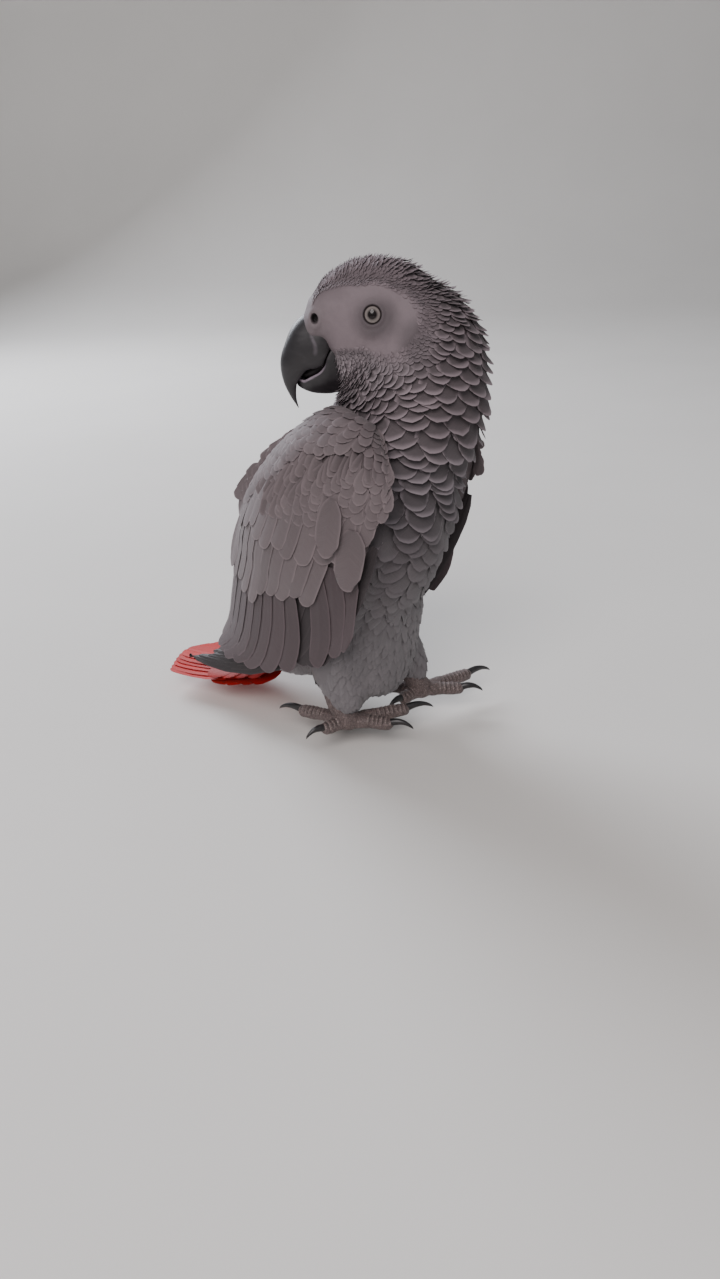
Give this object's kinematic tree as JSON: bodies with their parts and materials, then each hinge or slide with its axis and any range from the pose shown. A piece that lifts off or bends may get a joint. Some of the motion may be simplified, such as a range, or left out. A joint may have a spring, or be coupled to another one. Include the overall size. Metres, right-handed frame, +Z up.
{
  "type": "grey parrot",
  "caption": "Life-size grey parrot standing with folded wings, its head turned to look back over its right shoulder, as a still museum model.",
  "frame": {"origin": "on the floor, under the middle of the bird's bounding box", "axes": "+Z up; the breast faces -Y and the tail +Y; the bird's left side is at +X and its right side at -X"},
  "size_m": [0.1202, 0.193, 0.2221],
  "materials": {
    "plumage": "soft grey contour feathers, each with a paler edge",
    "face_skin": "bare pale powdery skin round the eye",
    "iris": "clear wet eye, straw-coloured iris, black pupil",
    "horn": "black horn with a dull shine",
    "flight_feathers": "smooth dark grey quill feathers",
    "tail_feathers": "scarlet quill feathers",
    "leg_skin": "dark grey skin of fine round scales"
  },
  "bodies": {
    "root": {"head": "face_skin", "neck": "plumage", "torso": "plumage", "eye_left": "iris", "eye_right": "iris", "bill_upper": "horn", "bill_lower": "horn", "wing_left": "plumage", "wing_right": "plumage", "primaries_left": "flight_feathers", "primaries_right": "flight_feathers", "tail": "tail_feathers", "thigh_left": "plumage", "thigh_right": "plumage", "shank_left": "leg_skin", "shank_right": "leg_skin", "toe_left_inner_front": "leg_skin", "toe_left_outer_front": "leg_skin", "toe_left_inner_back": "leg_skin", "toe_left_outer_back": "leg_skin", "toe_right_inner_front": "leg_skin", "toe_right_outer_front": "leg_skin", "toe_right_inner_back": "leg_skin", "toe_right_outer_back": "leg_skin", "claw_left_inner_front": "horn", "claw_left_outer_front": "horn", "claw_left_inner_back": "horn", "claw_left_outer_back": "horn", "claw_right_inner_front": "horn", "claw_right_outer_front": "horn", "claw_right_inner_back": "horn", "claw_right_outer_back": "horn"}
  },
  "joints": []
}
